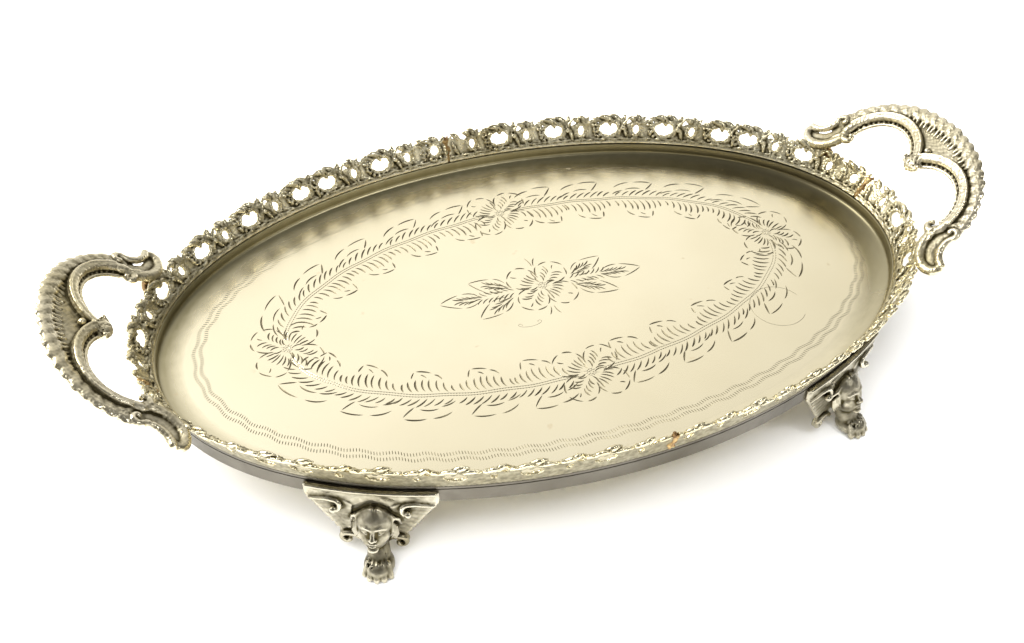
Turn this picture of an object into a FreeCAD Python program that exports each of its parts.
"""Oval two-handled gallery tray on four mask-and-paw feet, in millimetres.

The tray stands on Z = 0 with its long axis along X and its origin below the centre of the floor.
Every part of the tray is soldered to its neighbour, so nothing moves.
"""
import FreeCAD, Part
import math
import os

from FreeCAD import Vector

# Driving dimensions of the rim: the ellipse on which the gallery stands.
RIM_HALF_LENGTH = 190.0
RIM_HALF_WIDTH = 112.7
RIM_HEIGHT = 44.5

# Raised sheet tray: upright wall, crease, curved cavetto and flat floor.
SHEET = 1.2
FLOOR_TOP = 36.5
CREASE_HEIGHT = 39.5
CAVETTO_REACH = 11.0
CAVETTO_STEPS = 6

# Applied band round the outside of the wall, reaching below the floor, with a groove round it.
BAND_THICKNESS = 1.2
BAND_BOTTOM = 34.4
GROOVE_BOTTOM = 42.4
GROOVE_TOP = 43.0
GROOVE_DEPTH = 0.6

# Cast openwork gallery, leaning outwards, in four equal strips.
GALLERY_INSET = 1.0
GALLERY_THICKNESS = 3.0
GALLERY_RISE = 13.6
GALLERY_LEAN = 8.2
STRIP_COUNT = 4
FIRST_SEAM_ARC = 17.0
SEAM_GAP = 1.0
STRIP_PATTERN = "msLsLLsLsLsLsLs"
OPENING_SIZES = {"L": (10.6, 7.6), "s": (3.4, 5.6), "m": (5.0, 5.6)}
NOTCH_RADIUS = 2.2

# Handle castings, each drawn flat in a plane that rises outwards from the rim.
HANDLE_ROOT_X = 182.8
HANDLE_ROOT_Z = 59.1
HANDLE_SLOPE = math.radians(36.1)
FLANGE_CENTRE = 14.0
FLANGE_HALF_WIDTH = 53.0
FLANGE_REACH = 41.0
FLANGE_THICKNESS = 4.0
FLANGE_END = 13.0
SCROLL_SIDE = 20.0
SCROLL_CENTRE = 16.0
SCROLL_RADIUS = 23.4
SCROLL_SECTION = 3.2
ARM_SIDE = 48.5
ARM_FOOT_SIDE = 46.4
ARM_FOOT_REACH = -3.0
CURL_RADIUS = 11.5
CURL_SECTION = 2.8
KNOB_RADIUS = 4.2
BOSS_RADIUS = 4.6

# Cast feet: winged bracket over the lower half of the band, mask, leg and paw.
# The leg leans a little to one side, and the feet aren't spaced quite evenly.
FOOT_X = {
    ("front", "left"): 110.5,
    ("front", "right"): 119.5,
    ("back", "left"): 115.0,
    ("back", "right"): 115.0,
}
PLATE_TOP = 42.2
PLATE_HALF_WIDTH = 29.0
PLATE_SIDE_HEIGHT = 36.0
PLATE_TIP_HALF_WIDTH = 13.0
PLATE_TIP_HEIGHT = 11.0
PLATE_OUT = 3.2
MASK_RADII = (9.0, 6.6, 11.5)
MASK_CENTRE = (-1.6, 6.4, 22.6)
LEG_TOP = (-2.0, 6.6, 16.0)
LEG_FOOT = (-3.2, 10.8, 4.0)
LEG_TOP_RADIUS = 5.8
LEG_FOOT_RADIUS = 5.4
PAW_CENTRE = (-3.4, 13.4, 2.6)
PAW_RADII = (8.4, 8.8, 6.4)
VOLUTE_SIDE = 12.4
VOLUTE_HEIGHT = 9.2
VOLUTE_RADIUS = 3.0


def ellipse_wire(offset, height):
    """The rim ellipse made larger by offset, lying at a height."""
    curve = Part.Ellipse(Vector(0, 0, height), RIM_HALF_LENGTH + offset, RIM_HALF_WIDTH + offset)
    return Part.Wire(curve.toShape())


def ellipse_prism(offset, bottom, top):
    """Solid oval prism between two heights."""
    face = Part.Face(ellipse_wire(offset, bottom))
    return face.extrude(Vector(0, 0, top - bottom))


def oval_ring(inner, outer, bottom, top):
    """Upright oval ring between two offsets of the rim."""
    return ellipse_prism(outer, bottom, top).cut(ellipse_prism(inner, bottom, top))


def bowl_solid(wall_offset, bottom):
    """Filled tray shape: flat bottom, quarter-round cavetto and upright wall."""
    sections = []
    for step in range(CAVETTO_STEPS + 1):
        turn = 0.5 * math.pi * step / CAVETTO_STEPS
        inset = CAVETTO_REACH * (1.0 - math.sin(turn))
        height = bottom + (CREASE_HEIGHT - bottom) * (1.0 - math.cos(turn))
        sections.append(ellipse_wire(wall_offset - inset, height))
    cavetto = Part.makeLoft(sections, True, False)
    wall = ellipse_prism(wall_offset, CREASE_HEIGHT, RIM_HEIGHT)
    return cavetto.fuse(wall)


def tray_pan(filled_pan):
    """Sheet tray of even thickness."""
    hollow = bowl_solid(-SHEET, FLOOR_TOP)
    return filled_pan.cut(hollow)


def rim_band():
    """Band applied round the outside of the tray wall."""
    ring = oval_ring(0.0, BAND_THICKNESS, BAND_BOTTOM, RIM_HEIGHT)
    outer_edges = [edge for edge in ring.Edges if is_outer_rim_edge(edge)]
    ring = ring.makeFillet(0.35 * BAND_THICKNESS, outer_edges)
    groove = oval_ring(BAND_THICKNESS - GROOVE_DEPTH, 2.0 * BAND_THICKNESS, GROOVE_BOTTOM, GROOVE_TOP)
    return ring.cut(groove)


def is_outer_rim_edge(edge):
    """True for the two long outer edges of the band."""
    is_level = edge.BoundBox.ZLength < 0.01
    return is_level and edge.BoundBox.XMax > RIM_HALF_LENGTH + 0.9 * BAND_THICKNESS


def gallery_envelope():
    """Whole leaning gallery ring, before it is pierced."""
    top = RIM_HEIGHT + GALLERY_RISE
    outer = GALLERY_THICKNESS - GALLERY_INSET
    outer_walls = [ellipse_wire(outer, RIM_HEIGHT), ellipse_wire(outer + GALLERY_LEAN, top)]
    inner_walls = [ellipse_wire(-GALLERY_INSET, RIM_HEIGHT), ellipse_wire(GALLERY_LEAN - GALLERY_INSET, top)]
    return Part.makeLoft(outer_walls, True, True).cut(Part.makeLoft(inner_walls, True, True))


def rim_point(arc_length):
    """Point at the middle of the gallery's height, its tangent and its outward normal."""
    middle = 0.5 * GALLERY_LEAN
    curve = Part.Ellipse(Vector(0, 0, 0), RIM_HALF_LENGTH + middle, RIM_HALF_WIDTH + middle)
    parameter = curve.parameterAtDistance(arc_length % curve.length(), 0.0)
    tangent = curve.tangent(parameter)[0]
    normal = Vector(tangent.y, -tangent.x, 0.0)
    return curve.value(parameter), tangent, normal


def gallery_length():
    """Distance round the middle of the gallery."""
    middle = 0.5 * GALLERY_LEAN
    return Part.Ellipse(Vector(0, 0, 0), RIM_HALF_LENGTH + middle, RIM_HALF_WIDTH + middle).length()


def radial_slab(arc_length, width):
    """Thin upright slab across the gallery at one seam."""
    point, tangent, normal = rim_point(arc_length)
    reach = 20.0
    corner = point - tangent * (0.5 * width) - normal * (0.5 * reach) + Vector(0, 0, RIM_HEIGHT - 1.0)
    side = Part.makeLine(corner, corner + tangent * width)
    return side.extrude(normal * reach).extrude(Vector(0, 0, GALLERY_RISE + 2.0))


def leaning_frame(arc_length, slant_height):
    """Placement on the gallery: local X along the rim, Y up the slant and Z out of its face."""
    point, tangent, normal = rim_point(arc_length)
    lean = math.atan2(GALLERY_LEAN, GALLERY_RISE)
    up = normal * math.sin(lean) + Vector(0, 0, math.cos(lean))
    facing = tangent.cross(up)
    wall_middle = 0.5 * GALLERY_THICKNESS - GALLERY_INSET
    centre = point + normal * wall_middle + Vector(0, 0, RIM_HEIGHT + 0.5 * GALLERY_RISE)
    centre = centre + up * slant_height
    return FreeCAD.Matrix(
        tangent.x, up.x, facing.x, centre.x,
        tangent.y, up.y, facing.y, centre.y,
        tangent.z, up.z, facing.z, centre.z,
        0, 0, 0, 1,
    )


def oval_cutter(arc_length, slant_height, width, height):
    """Oval punch through the gallery wall."""
    half_depth = 2.0 * GALLERY_THICKNESS
    if width >= height:
        curve = Part.Ellipse(Vector(0, 0, -half_depth), 0.5 * width, 0.5 * height)
    else:
        curve = Part.Ellipse(Vector(0, 0.5 * height, -half_depth), Vector(0.5 * width, 0, -half_depth),
                             Vector(0, 0, -half_depth))
    punch = Part.Face(Part.Wire(curve.toShape())).extrude(Vector(0, 0, 2.0 * half_depth))
    punch.transformShape(leaning_frame(arc_length, slant_height))
    return punch


def strip_cutters(strip_start, strip_length):
    """Openings and scalloped top edge of one gallery strip."""
    pitch = strip_length / (len(STRIP_PATTERN) + 0.4)
    slant = math.hypot(GALLERY_LEAN, GALLERY_RISE)
    cutters = []
    for index, kind in enumerate(STRIP_PATTERN):
        arc = strip_start + pitch * (index + 0.45)
        width, height = OPENING_SIZES[kind]
        cutters.append(oval_cutter(arc, 0.0, width, height))
        notch_arc = arc + 0.5 * pitch
        cutters.append(oval_cutter(notch_arc, 0.5 * slant, 2.0 * NOTCH_RADIUS, 2.0 * NOTCH_RADIUS))
    return cutters


def gallery_strips(ring):
    """The pierced strips and the solder that joins them end to end."""
    strip_length = gallery_length() / STRIP_COUNT
    seam_arcs = [FIRST_SEAM_ARC + strip_length * index for index in range(STRIP_COUNT)]
    slabs = [radial_slab(arc, SEAM_GAP) for arc in seam_arcs]
    solders = [ring.common(slab) for slab in slabs]
    pieces = ring.cut(slabs).Solids
    strips = []
    for seam_arc in seam_arcs:
        middle = rim_point(seam_arc + 0.5 * strip_length)[0]
        pieces.sort(key=lambda piece: flat_distance(piece.CenterOfMass, middle))
        strips.append(pieces[0].cut(strip_cutters(seam_arc, strip_length)))
    return strips, solders


def flat_distance(first, second):
    """Distance between two points seen from above."""
    return math.hypot(first.x - second.x, first.y - second.y)


def ball(centre, radius):
    """Sphere at a point."""
    return Part.makeSphere(radius, Vector(*centre))


def ellipsoid(centre, radii):
    """Ellipsoid with its axes along X, Y and Z."""
    shape = Part.makeSphere(1.0)
    matrix = FreeCAD.Matrix()
    matrix.scale(Vector(*radii))
    shape = shape.transformGeometry(matrix)
    shape.translate(Vector(*centre))
    return shape


def taper(start, end, start_radius, end_radius):
    """Round bar of changing radius between two points."""
    start = Vector(*start)
    axis = Vector(*end) - start
    return Part.makeCone(start_radius, end_radius, axis.Length, start, axis)


def scroll_arc(centre, radius, section, first_angle, sweep):
    """Part of a ring of round section, drawn flat in the handle's plane."""
    ring = Part.makeTorus(radius, section, Vector(0, 0, 0), Vector(0, 0, 1), 0, 360, sweep)
    ring.rotate(Vector(0, 0, 0), Vector(0, 0, 1), first_angle)
    ring.translate(Vector(centre[0], centre[1], 0))
    return ring


def arc_end(centre, radius, angle):
    """Point on a circle in the handle's plane."""
    turn = math.radians(angle)
    return (centre[0] + radius * math.cos(turn), centre[1] + radius * math.sin(turn), 0.0)


def handle_flange():
    """Crescent plate with two finger bays cut in its inner edge."""
    half = 0.5 * FLANGE_THICKNESS
    curve = Part.Ellipse(Vector(0, FLANGE_CENTRE, -half), FLANGE_HALF_WIDTH, FLANGE_REACH)
    plate = Part.Face(Part.Wire(curve.toShape())).extrude(Vector(0, 0, FLANGE_THICKNESS))
    depth = 4.0 * FLANGE_THICKNESS
    bays = []
    for side in (-1, 1):
        centre = Vector(side * SCROLL_SIDE, SCROLL_CENTRE, -0.5 * depth)
        bays.append(Part.makeCylinder(SCROLL_RADIUS, depth, centre))
    below = Part.makeBox(
        4.0 * FLANGE_HALF_WIDTH, 100.0, depth, Vector(-2.0 * FLANGE_HALF_WIDTH, FLANGE_END - 100.0, -0.5 * depth)
    )
    crescent = plate.cut(bays + [below])
    return max(crescent.Solids, key=lambda solid: solid.Volume)


def handle_half():
    """C-scroll rib, arm, tongue and outward curl on the positive side."""
    centre = (SCROLL_SIDE, SCROLL_CENTRE)
    first_angle = -8.0
    last_angle = 146.0
    outer_end = arc_end(centre, SCROLL_RADIUS, first_angle)
    inner_end = arc_end(centre, SCROLL_RADIUS, last_angle)
    rib = scroll_arc(centre, SCROLL_RADIUS, SCROLL_SECTION, first_angle, last_angle - first_angle)
    arm_top = (ARM_SIDE, FLANGE_END + 1.5, 0.0)
    arm_foot = (ARM_FOOT_SIDE, ARM_FOOT_REACH, 0.0)
    tongue = taper(arm_top, arm_foot, 4.4, 3.2)
    curl_centre = (ARM_SIDE + CURL_RADIUS, FLANGE_END + 1.0)
    curl = scroll_arc(curl_centre, CURL_RADIUS, CURL_SECTION, 185.0, 80.0)
    curl_end = arc_end(curl_centre, CURL_RADIUS, 265.0)
    return [
        rib,
        ball(outer_end, SCROLL_SECTION),
        ball(inner_end, 1.15 * SCROLL_SECTION),
        tongue,
        ball(arm_top, 4.8),
        curl,
        ball(curl_end, KNOB_RADIUS),
    ]


def handle_casting():
    """Whole handle drawn flat, ready to be tilted on to the rim."""
    half = handle_half()
    other = [piece.mirror(Vector(0, 0, 0), Vector(1, 0, 0)) for piece in half]
    boss = ball((0.0, SCROLL_CENTRE + 13.0, 0.0), BOSS_RADIUS)
    return handle_flange().fuse(half + other + [boss])


def placed_handle(turn, ring):
    """Handle tilted on to the +X end, filed to seat on the gallery, then turned about Z."""
    handle = handle_casting()
    cosine = math.cos(HANDLE_SLOPE)
    sine = math.sin(HANDLE_SLOPE)
    handle.transformShape(FreeCAD.Matrix(
        0, cosine, -sine, HANDLE_ROOT_X,
        -1, 0, 0, 0,
        0, sine, cosine, HANDLE_ROOT_Z,
        0, 0, 0, 1,
    ))
    handle = handle.cut(ring)
    handle = max(handle.Solids, key=lambda solid: solid.Volume)
    handle.rotate(Vector(0, 0, 0), Vector(0, 0, 1), turn)
    return handle


def handle_solder(handle, ring, x_sign, y_sign):
    """Fillet of solder where one arm meets the gallery's outer face."""
    centre = (x_sign * (HANDLE_ROOT_X + 2.6), y_sign * ARM_FOOT_SIDE, HANDLE_ROOT_Z - 4.2)
    bead = ellipsoid(centre, (3.6, 6.4, 3.4))
    bead = bead.cut([handle, ring])
    return max(bead.Solids, key=outward_reach)


def outward_reach(solid):
    """How far a solid lies from the middle of the tray."""
    return flat_distance(solid.CenterOfMass, Vector(0, 0, 0))


def foot_plate():
    """Winged bracket that follows the curve of the wall, in the foot's own frame."""
    corners = [
        (-PLATE_HALF_WIDTH, PLATE_TOP),
        (PLATE_HALF_WIDTH, PLATE_TOP),
        (PLATE_HALF_WIDTH, PLATE_SIDE_HEIGHT),
        (PLATE_TIP_HALF_WIDTH, PLATE_TIP_HEIGHT),
        (-PLATE_TIP_HALF_WIDTH, PLATE_TIP_HEIGHT),
        (-PLATE_HALF_WIDTH, PLATE_SIDE_HEIGHT),
    ]
    points = [Vector(x, -15.0, z) for x, z in corners]
    outline = Part.makePolygon(points + points[:1])
    return Part.Face(outline).extrude(Vector(0, 30.0, 0))


def foot_figure():
    """Mask, leg, paw and volutes, in the foot's own frame."""
    mask = ellipsoid(MASK_CENTRE, MASK_RADII)
    leg = taper(LEG_TOP, LEG_FOOT, LEG_TOP_RADIUS, LEG_FOOT_RADIUS)
    paw = ellipsoid(PAW_CENTRE, PAW_RADII)
    volutes = []
    for side in (-1, 1):
        start = Vector(side * VOLUTE_SIDE, 0.5, VOLUTE_HEIGHT)
        volutes.append(Part.makeCylinder(VOLUTE_RADIUS, 5.0, start, Vector(0, 1, 0)))
        volutes.append(taper((side * 5.0, 3.6, 13.0), (side * VOLUTE_SIDE, 3.0, VOLUTE_HEIGHT), 3.0, 2.2))
    return mask.fuse([leg, paw] + volutes)


def foot_matrix(x, x_sign, y_sign):
    """Placement of a foot: local X along the wall, Y outwards and Z up."""
    y = RIM_HALF_WIDTH * math.sqrt(1.0 - (x / RIM_HALF_LENGTH) ** 2)
    normal = Vector(x_sign * x / RIM_HALF_LENGTH ** 2, y_sign * y / RIM_HALF_WIDTH ** 2, 0.0)
    normal.normalize()
    tangent = normal.cross(Vector(0, 0, 1))
    return FreeCAD.Matrix(
        tangent.x, normal.x, 0, x_sign * x,
        tangent.y, normal.y, 0, y_sign * y,
        0, 0, 1, 0,
        0, 0, 0, 1,
    )


def placed_foot(matrix, filled_band):
    """One foot in place: its bracket trimmed to the band, its paw flat on the table."""
    plate = foot_plate()
    plate.transformShape(matrix)
    follows_wall = oval_ring(BAND_THICKNESS, PLATE_OUT, PLATE_TIP_HEIGHT - 1.0, PLATE_TOP)
    plate = plate.common(follows_wall)
    figure = foot_figure()
    figure.transformShape(matrix)
    below_table = Part.makeBox(600, 600, 20, Vector(-300, -300, -20))
    foot = plate.fuse(figure).cut([filled_band, below_table])
    return max(foot.Solids, key=lambda solid: solid.Volume)


def foot_solder(matrix, foot, filled_band):
    """Bead of solder behind the bracket, under the lower edge of the band."""
    points = [Vector(-14.0, 2.0, BAND_BOTTOM), Vector(-14.0, -2.4, BAND_BOTTOM), Vector(-14.0, 2.0, 30.4)]
    bead = Part.Face(Part.makePolygon(points + points[:1])).extrude(Vector(28.0, 0, 0))
    bead.transformShape(matrix)
    bead = bead.cut([filled_band, foot])
    return max(bead.Solids, key=lambda solid: solid.Volume)


def write(name, shape):
    """Saves one sub-part as its own STEP file."""
    if not shape.isValid():
        print("invalid shape:", name)
    if len(shape.Solids) != 1:
        print("solids in", name, len(shape.Solids))
    shape.exportStep("parts/" + name + ".step")
    print(name, "volume", round(shape.Volume, 1))


def main():
    """Builds and saves every sub-part of the tray."""
    os.makedirs("parts", exist_ok=True)
    filled_pan = bowl_solid(0.0, FLOOR_TOP - SHEET)
    write("tray_pan", tray_pan(filled_pan))
    write("rim_band", rim_band())
    ring = gallery_envelope()
    strips, solders = gallery_strips(ring)
    for number, (strip, solder) in enumerate(zip(strips, solders), 1):
        write("gallery_strip_" + str(number), strip)
        write("gallery_solder_" + str(number), solder)
    for side, turn, x_sign in (("right", 0.0, 1), ("left", 180.0, -1)):
        handle = placed_handle(turn, ring)
        write("handle_" + side, handle)
        for end, y_sign in (("front", -1), ("back", 1)):
            write("handle_solder_" + end + "_" + side, handle_solder(handle, ring, x_sign, y_sign))
    filled_band = ellipse_prism(BAND_THICKNESS, BAND_BOTTOM, RIM_HEIGHT)
    for end, y_sign in (("front", -1), ("back", 1)):
        for side, x_sign in (("left", -1), ("right", 1)):
            matrix = foot_matrix(FOOT_X[end, side], x_sign, y_sign)
            foot = placed_foot(matrix, filled_band)
            write("foot_" + end + "_" + side, foot)
            write("foot_solder_" + end + "_" + side, foot_solder(matrix, foot, filled_band))


main()
